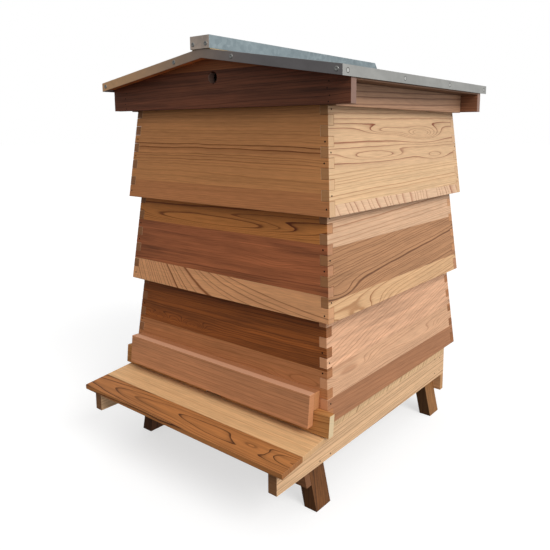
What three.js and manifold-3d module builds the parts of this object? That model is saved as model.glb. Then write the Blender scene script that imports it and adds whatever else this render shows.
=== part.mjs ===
// A double-walled beehive with a metal-covered gable roof. Millimetres, +Z up.
// -Y is the front, with the porch and the alighting board, and +X is the viewer's right.
// Heights in the code count from the top of the hive floor, and depths from the middle of the
// lifts. The exported group is moved so that the feet stand on z = 0 and the whole hive,
// alighting board and ridge cap included, is centred on y = 0.
import * as THREE from 'three';
import { mergeVertices } from 'three/addons/utils/BufferGeometryUtils.js';
import Module from 'manifold-3d';

const wasm = await Module();
wasm.setup();

// ---- driving dimensions ----
const GAP = 0.3; // air left between pieces that touch
const STAND_HEIGHT = 176.4; // feet to the top of the hive floor

// outer lifts: tapered, finger-jointed casings
const LIFT_HALF_X = 278;
const LIFT_HALF_Y = 275;
const LIFT_HEIGHT = 211;
const LIFT_TAPER = 0.1015; // how far a wall leans in for each mm of height
const LIFT_STEP = 189; // one lift's bottom edge to the next one's
const LIFT_WALL = 16.5;
const LIFT_OVERLAP = LIFT_HEIGHT - LIFT_STEP;
const LOWEST_FINGER = 27;
const FINGER_COUNT = 10; // fingers above the lowest one
const FINGER_PITCH = (LIFT_HEIGHT - LOWEST_FINGER) / FINGER_COUNT;
const REST_BATTEN = 18; // section of the batten frame that carries a lift on the one below

// entrance, porch and its two slides
const ENTRANCE_HALF = 190;
const ENTRANCE_HEIGHT = 22;
const PORCH_HALF = 255.5;
const PORCH_TOP = 60.5;
const PORCH_BOTTOM = -0.3;
const PORCH_BOARD = 15;
const SPACER_BOTTOM = 27.4;
const SLIDE_THICKNESS = 14.6;
const SLIDE_BOTTOM = -13.6;
const SLIDE_TOP = 26.9;
const SLIDE_OUTER_END = 291;
const SLIDE_INNER_END = 21; // half of the gap left for the bees

// floor, rails and legs
const RAIL_OUTER = 260.6;
const RAIL_THICKNESS = 19.3;
const RAIL_FRONT = -397.8;
const RAIL_REAR = 256.5;
const RAIL_BOTTOM = -81.4;
const FLOOR_FRONT = -272;
const FLOOR_THICKNESS = 12;
const FLOOR_BATTEN_INNER = 190;
const FLOOR_BATTEN_OUTER = 250;
const FLOOR_BATTEN_HEIGHT = 22;
const ALIGHTING_HALF = 281;
const ALIGHTING_FRONT = -408;
const ALIGHTING_SEAM = -353.5;
const ALIGHTING_REAR = -262;
const ALIGHTING_REAR_TOP = -13.1;
const ALIGHTING_SLOPE = 0.1025;
const ALIGHTING_THICKNESS = 9.8;
const CROSS_BOARD = 14.5;
const CROSS_BOTTOM = -122.3;
const BRACE_FRONT = -294;
const BRACE_BOTTOM = -126;
const BRACE_TOP = -28;
const LEG_WIDTH = 44.5;
const LEG_THICKNESS = 29;
const LEG_FOOT_X = 257; // outer edge of the foot
const LEG_SPLAY = 0.235; // how far a leg leans in for each mm of height
const LEG_TOP = -28;
const FRONT_LEG_Y = -279;
const REAR_LEG_Y = 197;

// roof
const ROOF_HALF_X = 320;
const ROOF_HALF_Y = 303;
const ROOF_PITCH = 0.1558; // rise over run
const FASCIA_BOTTOM = 610.5; // lower edge of the metal at the eaves
const FASCIA_HEIGHT = 18;
const METAL = 0.9;
const ROOF_BOARD = 12;
const GABLE_HALF = 317.6;
const GABLE_FRONT = 274.6;
const GABLE_THICKNESS = 16;
const GABLE_BOTTOM = 568.5;
const VENT_RADIUS = 12;
const VENT_HEIGHT = 626;
const ROOF_RAIL_INNER = 260.7;
const ROOF_RAIL_OUTER = 277;
const ROOF_RAIL_BOTTOM = 566.8;
const EAVE_BATTEN_BOTTOM = 607;
const CAP_HALF = 25.8;
const CAP_TOP = 700.3;
const CAP_BOTTOM = 676.2;
const CAP_END = 306.3;
const CAP_CHAMFER = 19; // the rear end of the cap is cut back at the top
const SCREEN_HALF = 17; // perforated plate behind each vent hole
const SCREEN_THICKNESS = 1;
const SCREEN_HOLE = 1.6;
const SCREEN_PITCH = 4.6;

// the brood box and its frames
const BOX_HALF_X = 206.5;
const BOX_HALF_Y = 227;
const BOX_WALL = 12;
const END_BOARD_INNER = 186;
const END_BOARD_OUTER = 202;
const END_RAIL_INNER = 217.5;
const LUG_LEDGE = 18; // top of the end board below the top of the box
const END_RAIL_HEIGHT = 25;
const HAND_RAIL_HEIGHT = 55;
const BROOD_HEIGHT = 225;
const CROWN_THICKNESS = 9;
const FEED_HOLE_RADIUS = 22;
const FEED_HOLE_OFFSET = 110;
const FRAME_COUNT = 10;
const FRAME_SPACING = 37;
const TOP_BAR = { halfLength: 216, halfWidth: 11, lug: 10, height: 18 };
const FRAME_HALF_LENGTH = 178;
const FRAME_DEPTH = 215.9;
const FRAME_BAR = 9;
const WAX_HALF = 1.4;

const BROOD_Z = FLOOR_BATTEN_HEIGHT + 2 * GAP;
const CROWN_Z = BROOD_Z + BROOD_HEIGHT + GAP;

// ---- colours ----
const CEDAR_PALE = 0xdcba8c;
const CEDAR_GOLD = 0x9a6a3e;
const CEDAR_MID = 0xbf9468;
const CEDAR_DARK = 0x5c3a26;
const CEDAR_BROWN = 0x87583a;
const PINE = 0xd8b98a;
const PLY = 0xd2b080;
const WAX = 0xd9a441;
const GALVANISED = 0x9aa4a8;
const STEEL = 0x8a8782;

// ---- shapes ----

/** A straight-edged solid between two upright-facing rectangles [x0, x1, y0, y1]. */
function frustum(z0, lower, z1, upper) {
  const corners = [[lower, z0], [upper, z1]].flatMap(([[x0, x1, y0, y1], z]) => [
    [x0, y0, z], [x1, y0, z], [x1, y1, z], [x0, y1, z],
  ]);
  const faces = [
    [0, 3, 2, 1], [4, 5, 6, 7], [0, 1, 5, 4], [1, 2, 6, 5], [2, 3, 7, 6], [3, 0, 4, 7],
  ];
  const geometry = new THREE.BufferGeometry();
  geometry.setAttribute('position', new THREE.Float32BufferAttribute(corners.flat(), 3));
  geometry.setIndex(faces.flatMap(([a, b, c, d]) => [a, b, c, a, c, d]));
  return geometry;
}

/** A box from its limits on each axis. */
function box(x0, x1, y0, y1, z0, z1) {
  return frustum(z0, [x0, x1, y0, y1], z1, [x0, x1, y0, y1]);
}

function outline(points) {
  return new THREE.Shape(points.map(([u, v]) => new THREE.Vector2(u, v)));
}

/** An outline in X and Z, given depth along Y. */
function prismXZ(shape, y0, y1) {
  const solid = new THREE.ExtrudeGeometry(shape, {
    depth: y1 - y0, bevelEnabled: false, curveSegments: 6,
  });
  return solid.rotateX(Math.PI / 2).translate(0, y1, 0);
}

/** An outline in Y and Z, given depth along X. */
function prismYZ(shape, x0, x1) {
  const solid = new THREE.ExtrudeGeometry(shape, { depth: x1 - x0, bevelEnabled: false });
  const axes = new THREE.Matrix4().makeBasis(
    new THREE.Vector3(0, 1, 0), new THREE.Vector3(0, 0, 1), new THREE.Vector3(1, 0, 0),
  );
  return solid.applyMatrix4(axes).translate(x0, 0, 0);
}

/** An outline in X and Y, given height. */
function prismXY(shape, z0, z1) {
  const solid = new THREE.ExtrudeGeometry(shape, {
    depth: z1 - z0, bevelEnabled: false, curveSegments: 6,
  });
  return solid.translate(0, 0, z0);
}

/** A copy mirrored across the x = 0 plane, with its faces still outward. */
function mirrorX(geometry) {
  const copy = welded(geometry).scale(-1, 1, 1);
  const index = copy.index.array;
  for (let i = 0; i < index.length; i += 3) {
    [index[i], index[i + 1]] = [index[i + 1], index[i]];
  }
  return copy;
}

/** Only positions, with shared vertices merged. */
function welded(geometry) {
  const plain = new THREE.BufferGeometry();
  plain.setAttribute('position', geometry.getAttribute('position').clone());
  if (geometry.index) {
    plain.setIndex(geometry.index.clone());
  }
  return mergeVertices(plain, 1e-4);
}

function toSolid(geometry) {
  const plain = welded(geometry);
  return new wasm.Manifold(new wasm.Mesh({
    numProp: 3,
    vertProperties: new Float32Array(plain.getAttribute('position').array),
    triVerts: new Uint32Array(plain.index.array),
  }));
}

function toGeometry(solid) {
  const mesh = solid.getMesh();
  const geometry = new THREE.BufferGeometry();
  geometry.setAttribute('position', new THREE.BufferAttribute(mesh.vertProperties, 3));
  geometry.setIndex(new THREE.BufferAttribute(mesh.triVerts, 1));
  return geometry;
}

/** The body with every tool, a list of solids, taken out of it. */
function cut(body, tools) {
  return toGeometry(tools.reduce((solid, tool) => solid.subtract(tool), toSolid(body)));
}

/** Overlapping shapes joined into one piece. */
function join(shapes) {
  const [first, ...others] = shapes.map(toSolid);
  return toGeometry(others.reduce((solid, other) => solid.add(other), first));
}

// ---- scene ----
const hive = new THREE.Group();
hive.position.set(0, -(ALIGHTING_FRONT + CAP_END) / 2, STAND_HEIGHT);

function addPiece(name, geometry, color, roughness = 0.75, metalness = 0) {
  geometry.computeVertexNormals();
  const material = new THREE.MeshStandardMaterial({ color, roughness, metalness });
  const mesh = new THREE.Mesh(geometry, material);
  mesh.name = name;
  hive.add(mesh);
}

// ---- outer lifts ----

/** Outer half-sizes of a lift at a height above its bottom edge. */
function liftHalf(height) {
  return [LIFT_HALF_X - LIFT_TAPER * height, LIFT_HALF_Y - LIFT_TAPER * height];
}

/**
 * The leaning board of one side, out to the full corners. As a cutting tool it reaches past
 * the outer faces by an overrun and past its own inner face by a gap.
 */
function liftBoard(side, overrun = 0, gap = 0) {
  const rectangle = (height) => {
    const [halfX, halfY] = liftHalf(height);
    const outerX = halfX + overrun;
    const outerY = halfY + overrun;
    const innerX = halfX - LIFT_WALL - gap;
    const innerY = halfY - LIFT_WALL - gap;
    return {
      front: [-outerX, outerX, -outerY, -innerY],
      rear: [-outerX, outerX, innerY, outerY],
      left: [-outerX, -innerX, -outerY, outerY],
      right: [innerX, outerX, -outerY, outerY],
    }[side];
  };
  return frustum(0, rectangle(0), LIFT_HEIGHT, rectangle(LIFT_HEIGHT));
}

/** Lower and upper height of a finger. Even ones belong to the front and rear boards. */
function fingerBand(index) {
  if (index === 0) {
    return [0, LOWEST_FINGER];
  }
  const top = LOWEST_FINGER + FINGER_PITCH * index;
  return [top - FINGER_PITCH, top];
}

/** What a board loses to the fingers of the two boards that it meets. */
function fingerNotches(neighbours, parity, heightMargin) {
  const reach = 2 * LIFT_HALF_X;
  const notches = [];
  for (let index = parity; index <= FINGER_COUNT; index += 2) {
    const [low, high] = fingerBand(index);
    const bottom = index === 0 ? -LIFT_WALL : low - heightMargin;
    const top = index === FINGER_COUNT ? high + LIFT_WALL : high + heightMargin;
    const band = toSolid(box(-reach, reach, -reach, reach, bottom, top));
    for (const side of neighbours) {
      notches.push(toSolid(liftBoard(side, LIFT_WALL, GAP)).intersect(band));
    }
  }
  return notches;
}

/** A rectangular batten frame inside leaning walls, from the half-sizes of its outside. */
function restFrame(bottom, [halfX, halfY], lean) {
  const top = bottom + REST_BATTEN;
  const upperX = halfX - lean * REST_BATTEN;
  const upperY = halfY - lean * REST_BATTEN;
  const innerX = halfX - REST_BATTEN;
  const innerY = halfY - REST_BATTEN;
  const outside = frustum(
    bottom, [-halfX, halfX, -halfY, halfY], top, [-upperX, upperX, -upperY, upperY],
  );
  const inside = box(-innerX, innerX, -innerY, innerY, bottom - 1, top + 1);
  return cut(outside, [toSolid(inside)]);
}

const LIFT_COLORS = {
  1: { front: 0x8a5430, rear: 0x9a6a42, left: 0xb98a62, right: 0xc9a07c },
  2: { front: 0x94603c, rear: 0x9c6c44, left: 0xc09468, right: 0xc9a078 },
  3: { front: CEDAR_GOLD, rear: 0xa07044, left: 0xcaa070, right: CEDAR_PALE },
};

for (const level of [1, 2, 3]) {
  const bottom = GAP + LIFT_STEP * (level - 1);
  const frontNotches = fingerNotches(['left', 'right'], 1, GAP);
  const sideNotches = fingerNotches(['front', 'rear'], 0, 0);
  const entrance = box(
    -ENTRANCE_HALF, ENTRANCE_HALF, -2 * LIFT_HALF_Y, 0, -LIFT_WALL, ENTRANCE_HEIGHT,
  );
  for (const side of ['front', 'rear', 'left', 'right']) {
    const isEnd = side === 'front' || side === 'rear';
    const tools = [...(isEnd ? frontNotches : sideNotches)];
    if (level === 1 && side === 'front') {
      tools.push(toSolid(entrance));
    }
    const wall = cut(liftBoard(side), tools).translate(0, 0, bottom);
    addPiece(`lift_${level}_${side}_wall`, wall, LIFT_COLORS[level][side]);
  }
  // the lowest lift rests on the floor battens, the others on the lift below
  const frameHeight = level === 1 ? FLOOR_BATTEN_HEIGHT + GAP : LIFT_OVERLAP + GAP;
  const outer = liftHalf(frameHeight).map((half) => half - LIFT_WALL - GAP);
  addPiece(`lift_${level}_rest_frame`, restFrame(bottom + frameHeight, outer, LIFT_TAPER), PINE);
}

// ---- porch ----

/** Y of the lowest lift's front face at a height. */
function frontFace(z) {
  return -(LIFT_HALF_Y - LIFT_TAPER * (z - GAP));
}

/** A board that leans with the front face, its back a distance in front of it. */
function leaningBoard(x0, x1, z0, z1, standOff, thickness) {
  const back = (z) => frontFace(z) - standOff;
  return prismYZ(outline([
    [back(z0) - thickness, z0], [back(z0), z0], [back(z1), z1], [back(z1) - thickness, z1],
  ]), x0, x1);
}

const SPACER_THICKNESS = SLIDE_THICKNESS + 2 * GAP;
const PORCH_STAND_OFF = SPACER_THICKNESS + 2 * GAP;
addPiece('porch_board', leaningBoard(-PORCH_HALF, PORCH_HALF, PORCH_BOTTOM, PORCH_TOP,
  PORCH_STAND_OFF, PORCH_BOARD), 0xa06b4a);
addPiece('porch_spacer', leaningBoard(-PORCH_HALF, PORCH_HALF, SPACER_BOTTOM, PORCH_TOP - 0.6,
  GAP, SPACER_THICKNESS), 0xa8764c);

const rightSlide = leaningBoard(SLIDE_INNER_END, SLIDE_OUTER_END, SLIDE_BOTTOM, SLIDE_TOP,
  2 * GAP, SLIDE_THICKNESS);
addPiece('entrance_slide_right', rightSlide, 0xa07348);
addPiece('entrance_slide_left', mirrorX(rightSlide), 0xa07348);

// ---- floor, alighting board and stand ----

/** Top of the sloping alighting board at a depth. */
function alightingTop(y) {
  return ALIGHTING_REAR_TOP + ALIGHTING_SLOPE * (y - ALIGHTING_REAR);
}

function alightingBoard(front, rear) {
  return prismYZ(outline([
    [front, alightingTop(front) - ALIGHTING_THICKNESS],
    [rear, alightingTop(rear) - ALIGHTING_THICKNESS],
    [rear, alightingTop(rear)],
    [front, alightingTop(front)],
  ]), -ALIGHTING_HALF, ALIGHTING_HALF);
}

addPiece('alighting_board_rear', alightingBoard(ALIGHTING_SEAM + GAP, ALIGHTING_REAR), 0xe0b886);
addPiece('alighting_board_front', alightingBoard(ALIGHTING_FRONT, ALIGHTING_SEAM), 0xa56b3c);
addPiece('floor_panel', box(-RAIL_OUTER, RAIL_OUTER, FLOOR_FRONT, RAIL_REAR, -FLOOR_THICKNESS, 0),
  CEDAR_MID);

// the brood box and the lowest lift stand on a three-sided frame, open to the entrance
addPiece('floor_batten_frame', prismXY(outline([
  [-FLOOR_BATTEN_OUTER, -FLOOR_BATTEN_OUTER], [-FLOOR_BATTEN_INNER, -FLOOR_BATTEN_OUTER],
  [-FLOOR_BATTEN_INNER, END_BOARD_INNER], [FLOOR_BATTEN_INNER, END_BOARD_INNER],
  [FLOOR_BATTEN_INNER, -FLOOR_BATTEN_OUTER], [FLOOR_BATTEN_OUTER, -FLOOR_BATTEN_OUTER],
  [FLOOR_BATTEN_OUTER, FLOOR_BATTEN_OUTER], [-FLOOR_BATTEN_OUTER, FLOOR_BATTEN_OUTER],
]), GAP, GAP + FLOOR_BATTEN_HEIGHT), PINE);

const railUnderFloor = -FLOOR_THICKNESS - GAP;
const railStep = ALIGHTING_REAR + 1;
const railUnderBoard = (y) => alightingTop(y) - ALIGHTING_THICKNESS - GAP;
const rail = prismYZ(outline([
  [RAIL_FRONT, RAIL_BOTTOM],
  [RAIL_REAR, RAIL_BOTTOM],
  [RAIL_REAR, railUnderFloor],
  [railStep, railUnderFloor],
  [railStep, railUnderBoard(railStep)],
  [RAIL_FRONT, railUnderBoard(RAIL_FRONT)],
]), RAIL_OUTER - RAIL_THICKNESS, RAIL_OUTER);
addPiece('floor_rail_right', rail, 0xc8996f);
addPiece('floor_rail_left', mirrorX(rail), 0xb98a62);

const railInner = RAIL_OUTER - RAIL_THICKNESS - GAP;
const underRail = RAIL_BOTTOM - GAP;
addPiece('rear_cross_board', prismXZ(outline([
  [-RAIL_OUTER, CROSS_BOTTOM], [RAIL_OUTER, CROSS_BOTTOM], [RAIL_OUTER, underRail],
  [railInner, underRail], [railInner, railUnderFloor], [-railInner, railUnderFloor],
  [-railInner, underRail], [-RAIL_OUTER, underRail],
]), RAIL_REAR - CROSS_BOARD, RAIL_REAR), 0xb98c5e);

/** Outer face of a right-hand leg at a height. */
function legOuter(z) {
  return LEG_FOOT_X - LEG_SPLAY * (z + STAND_HEIGHT);
}

addPiece('front_leg_brace', prismXZ(outline([
  [-legOuter(BRACE_BOTTOM), BRACE_BOTTOM], [legOuter(BRACE_BOTTOM), BRACE_BOTTOM],
  [legOuter(underRail), underRail], [railInner, underRail], [railInner, BRACE_TOP],
  [-railInner, BRACE_TOP], [-railInner, underRail], [-legOuter(underRail), underRail],
]), BRACE_FRONT, FRONT_LEG_Y - GAP), CEDAR_BROWN);

const legShape = outline([
  [legOuter(-STAND_HEIGHT) - LEG_THICKNESS, -STAND_HEIGHT],
  [legOuter(-STAND_HEIGHT), -STAND_HEIGHT],
  [legOuter(LEG_TOP), LEG_TOP],
  [legOuter(LEG_TOP) - LEG_THICKNESS, LEG_TOP],
]);
for (const [end, y, color] of [['front', FRONT_LEG_Y, 0x6e462d], ['rear', REAR_LEG_Y, 0xa07348]]) {
  const leg = prismXZ(legShape, y, y + LEG_WIDTH);
  addPiece(`leg_${end}_right`, leg, color);
  addPiece(`leg_${end}_left`, mirrorX(leg), color);
}

// ---- roof ----

/** Height of the outside of the metal cover, and of layers below it. */
function coverTop(x) {
  return FASCIA_BOTTOM + FASCIA_HEIGHT + ROOF_PITCH * (ROOF_HALF_X - Math.abs(x));
}
const BOARD_TOP_DROP = METAL + GAP;
const BOARD_UNDER_DROP = BOARD_TOP_DROP + ROOF_BOARD;

function underBoards(x) {
  return coverTop(x) - BOARD_UNDER_DROP - GAP;
}

function roofPrism(halfX, drop, lowerEdge, halfY) {
  return prismXZ(outline([
    [-halfX, lowerEdge(halfX)], [0, lowerEdge(0)], [halfX, lowerEdge(halfX)],
    [halfX, coverTop(halfX) - drop], [0, coverTop(0) - drop], [-halfX, coverTop(halfX) - drop],
  ]), -halfY, halfY);
}

const coverOuter = roofPrism(ROOF_HALF_X, 0, (x) => coverTop(x) - FASCIA_HEIGHT, ROOF_HALF_Y);
const coverInner = roofPrism(ROOF_HALF_X - METAL, METAL, (x) => coverTop(x) - 2 * FASCIA_HEIGHT,
  ROOF_HALF_Y - METAL);
addPiece('roof_cover_sheet', cut(coverOuter, [toSolid(coverInner)]), GALVANISED, 0.4, 0.85);

const boardEdge = ROOF_HALF_X - METAL - GAP;
const roofBoard = prismXZ(outline([
  [GAP, coverTop(0) - BOARD_UNDER_DROP],
  [boardEdge, coverTop(boardEdge) - BOARD_UNDER_DROP],
  [boardEdge, coverTop(boardEdge) - BOARD_TOP_DROP],
  [GAP, coverTop(0) - BOARD_TOP_DROP],
]), -(ROOF_HALF_Y - METAL - GAP), ROOF_HALF_Y - METAL - GAP);
addPiece('roof_board_right', roofBoard, CEDAR_BROWN);
addPiece('roof_board_left', mirrorX(roofBoard), CEDAR_BROWN);

const gableShape = outline([
  [-GABLE_HALF, GABLE_BOTTOM], [GABLE_HALF, GABLE_BOTTOM],
  [GABLE_HALF, underBoards(GABLE_HALF)], [0, underBoards(0)],
  [-GABLE_HALF, underBoards(GABLE_HALF)],
]);
const vent = new THREE.Path();
vent.absarc(0, VENT_HEIGHT, VENT_RADIUS, 0, 2 * Math.PI, true);
gableShape.holes.push(vent);
const gableInner = GABLE_FRONT - GABLE_THICKNESS;
addPiece('gable_front', prismXZ(gableShape, -GABLE_FRONT, -gableInner), CEDAR_DARK);
addPiece('gable_rear', prismXZ(gableShape, gableInner, GABLE_FRONT), CEDAR_DARK);

/** A timber along Y under the roof boards, from one gable to the other. */
function underRoofTimber(x0, x1, bottom) {
  return prismXZ(outline([
    [x0, bottom], [x1, bottom], [x1, underBoards(x1)], [x0, underBoards(x0)],
  ]), -(gableInner - GAP), gableInner - GAP);
}

const roofRail = underRoofTimber(ROOF_RAIL_INNER, ROOF_RAIL_OUTER, ROOF_RAIL_BOTTOM);
addPiece('roof_rail_right', roofRail, 0xa5795c);
addPiece('roof_rail_left', mirrorX(roofRail), 0xa5795c);
const eaveBatten = underRoofTimber(ROOF_RAIL_OUTER + GAP, GABLE_HALF, EAVE_BATTEN_BOTTOM);
addPiece('eave_batten_right', eaveBatten, CEDAR_BROWN);
addPiece('eave_batten_left', mirrorX(eaveBatten), CEDAR_BROWN);

const liftStackTop = GAP + 2 * LIFT_STEP + LIFT_HEIGHT;
const roofFrameOuter = [ROOF_RAIL_INNER - GAP, gableInner - GAP];
addPiece('roof_rest_frame', restFrame(liftStackTop + GAP, roofFrameOuter, 0), PINE);

/** A small square plate with rows of holes, behind a vent. */
function ventScreen() {
  const y1 = gableInner - GAP;
  const y0 = y1 - SCREEN_THICKNESS;
  const square = (x, z, half, y2, y3) => box(x - half, x + half, y2, y3, z - half, z + half);
  const steps = [-2, -1, 0, 1, 2].map((step) => step * SCREEN_PITCH);
  const holes = steps.flatMap((dx) => steps.map((dz) => (
    toSolid(square(dx, VENT_HEIGHT + dz, SCREEN_HOLE, y0 - 1, y1 + 1))
  )));
  return cut(square(0, VENT_HEIGHT, SCREEN_HALF, y0, y1), holes);
}
addPiece('vent_screen_rear', ventScreen(), STEEL, 0.5, 0.8);
addPiece('vent_screen_front', ventScreen().rotateZ(Math.PI), STEEL, 0.5, 0.8);

/** The long profile of the ridge, in Y and Z, with its top rear corner cut back. */
function ridgeProfile(bottom, top, end, chamfer) {
  return outline([[-end, bottom], [end, bottom], [end - chamfer, top], [-end, top]]);
}

const capOuter = prismYZ(ridgeProfile(CAP_BOTTOM, CAP_TOP, CAP_END, CAP_CHAMFER),
  -CAP_HALF, CAP_HALF);
const capInner = prismYZ(
  ridgeProfile(CAP_BOTTOM - METAL, CAP_TOP - METAL, CAP_END - METAL, CAP_CHAMFER),
  -(CAP_HALF - METAL), CAP_HALF - METAL,
);
addPiece('ridge_cap', cut(capOuter, [toSolid(capInner)]), 0x8d9a9e, 0.35, 0.85);

const blockHalf = CAP_HALF - METAL - GAP;
const ridgeBlock = prismYZ(
  ridgeProfile(FASCIA_BOTTOM, CAP_TOP - METAL - GAP, ROOF_HALF_Y, CAP_CHAMFER + METAL),
  -blockHalf, blockHalf,
);
const underBlock = roofPrism(ROOF_HALF_X, -GAP, (x) => coverTop(x) - 5 * FASCIA_HEIGHT,
  ROOF_HALF_Y + METAL);
addPiece('ridge_block', cut(ridgeBlock, [toSolid(underBlock)]), PINE);

// ---- brood box ----

/** One end of a box: end board, bottom rail and the hand rail that closes the lug space. */
function boxEndProfile(height) {
  return outline([
    [END_BOARD_INNER, 0], [BOX_HALF_Y, 0], [BOX_HALF_Y, END_RAIL_HEIGHT],
    [END_BOARD_OUTER, END_RAIL_HEIGHT], [END_BOARD_OUTER, height - HAND_RAIL_HEIGHT],
    [BOX_HALF_Y, height - HAND_RAIL_HEIGHT], [BOX_HALF_Y, height], [END_RAIL_INNER, height],
    [END_RAIL_INNER, height - LUG_LEDGE], [END_BOARD_INNER, height - LUG_LEDGE],
  ]);
}

function addBroodBox() {
  const sideInner = BOX_HALF_X - BOX_WALL;
  const right = box(sideInner, BOX_HALF_X, -BOX_HALF_Y, BOX_HALF_Y, BROOD_Z,
    BROOD_Z + BROOD_HEIGHT);
  const rear = prismYZ(boxEndProfile(BROOD_HEIGHT), -(sideInner - GAP), sideInner - GAP)
    .translate(0, 0, BROOD_Z);
  addPiece('brood_box_right_wall', right, CEDAR_MID);
  addPiece('brood_box_left_wall', mirrorX(right), CEDAR_MID);
  addPiece('brood_box_rear_wall', rear, CEDAR_MID);
  addPiece('brood_box_front_wall', rear.clone().rotateZ(Math.PI), CEDAR_MID);
}

/** A hanging frame: top bar on its lugs, two side bars, bottom bar and a wax sheet. */
function broodFrame(x) {
  const top = BROOD_Z + BROOD_HEIGHT - LUG_LEDGE + GAP + TOP_BAR.lug;
  const underTop = top - TOP_BAR.height;
  const bottom = top - FRAME_DEPTH;
  const half = FRAME_HALF_LENGTH;
  const barAt = (halfWidth, y0, y1, z0, z1) => box(x - halfWidth, x + halfWidth, y0, y1, z0, z1);
  const bar = outline([
    [-TOP_BAR.halfLength, top], [-TOP_BAR.halfLength, top - TOP_BAR.lug],
    [-half, top - TOP_BAR.lug], [-half, underTop],
    [half, underTop], [half, top - TOP_BAR.lug],
    [TOP_BAR.halfLength, top - TOP_BAR.lug], [TOP_BAR.halfLength, top],
  ]);
  return join([
    prismYZ(bar, x - TOP_BAR.halfWidth, x + TOP_BAR.halfWidth),
    barAt(TOP_BAR.halfWidth, -half, -half + FRAME_BAR, bottom, underTop + 1),
    barAt(TOP_BAR.halfWidth, half - FRAME_BAR, half, bottom, underTop + 1),
    barAt(TOP_BAR.halfWidth, -half + 1, half - 1, bottom, bottom + FRAME_BAR),
    barAt(WAX_HALF, -half + 1, half - 1, bottom + 1, underTop + 1),
  ]);
}

addBroodBox();
for (let index = 0; index < FRAME_COUNT; index += 1) {
  const x = (index - (FRAME_COUNT - 1) / 2) * FRAME_SPACING;
  addPiece(`brood_frame_${index + 1}`, broodFrame(x), WAX);
}

const crownShape = outline([
  [-BOX_HALF_X, -BOX_HALF_Y], [BOX_HALF_X, -BOX_HALF_Y],
  [BOX_HALF_X, BOX_HALF_Y], [-BOX_HALF_X, BOX_HALF_Y],
]);
for (const y of [-FEED_HOLE_OFFSET, 0]) {
  const hole = new THREE.Path();
  hole.absarc(0, y, FEED_HOLE_RADIUS, 0, 2 * Math.PI, true);
  crownShape.holes.push(hole);
}
addPiece('crown_board', prismXY(crownShape, CROWN_Z, CROWN_Z + CROWN_THICKNESS), PLY);

export default hive;
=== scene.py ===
"""The looks of a double-walled wooden beehive. Metres, +Z up, the porch faces -Y."""

import math
import random

import bmesh
import bpy
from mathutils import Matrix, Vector


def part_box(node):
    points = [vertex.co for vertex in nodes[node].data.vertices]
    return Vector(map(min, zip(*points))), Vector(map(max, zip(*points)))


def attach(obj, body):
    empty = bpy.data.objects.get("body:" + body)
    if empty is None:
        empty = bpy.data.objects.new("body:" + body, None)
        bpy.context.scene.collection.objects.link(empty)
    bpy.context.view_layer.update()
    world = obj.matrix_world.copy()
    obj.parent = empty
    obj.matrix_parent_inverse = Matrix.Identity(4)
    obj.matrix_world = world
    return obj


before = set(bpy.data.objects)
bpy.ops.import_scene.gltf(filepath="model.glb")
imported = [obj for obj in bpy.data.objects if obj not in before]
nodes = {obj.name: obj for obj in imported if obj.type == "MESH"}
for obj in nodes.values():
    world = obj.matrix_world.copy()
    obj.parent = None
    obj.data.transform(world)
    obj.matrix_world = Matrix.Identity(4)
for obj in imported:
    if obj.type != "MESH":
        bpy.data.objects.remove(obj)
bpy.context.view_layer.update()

X_AXIS = Vector((1, 0, 0))
Y_AXIS = Vector((0, 1, 0))
Z_AXIS = Vector((0, 0, 1))
LEAN = 0.1015  # how far the lift walls lean in for each metre of height
FRONT_LIGHT = (0.64, 0.68, 0.80)  # the light that reaches the front, in red, green and blue
SIDE_LIGHT = (1.18, 1.20, 1.20)
WHITE_LIGHT = (1.0, 1.0, 1.0)
LIGHTEST = 0.92  # nothing real throws back all of its light
FACING = 0.7  # a face looks in a direction when the cosine between them is above this
WOOD_ROUGHNESS = 0.62
WOOD_RELIEF = 0.00025  # depth of the sawn surface's bump
WELD_DISTANCE = 0.00001
FLAT_ANGLE = math.radians(0.5)  # faces that meet at less than this are one face
SHARP_ANGLE = math.radians(30)  # edges sharper than this are rounded


def tone(red, green, blue, light=WHITE_LIGHT):
    """A surface colour from the sRGB colour that it shows under some light."""
    def linear(value):
        value /= 255
        return value / 12.92 if value <= 0.04045 else ((value + 0.055) / 1.055) ** 2.4
    channels = zip((red, green, blue), light)
    return (*(min(LIGHTEST, linear(c) / share) for c, share in channels), 1.0)


# ---- shader helpers ----

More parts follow.
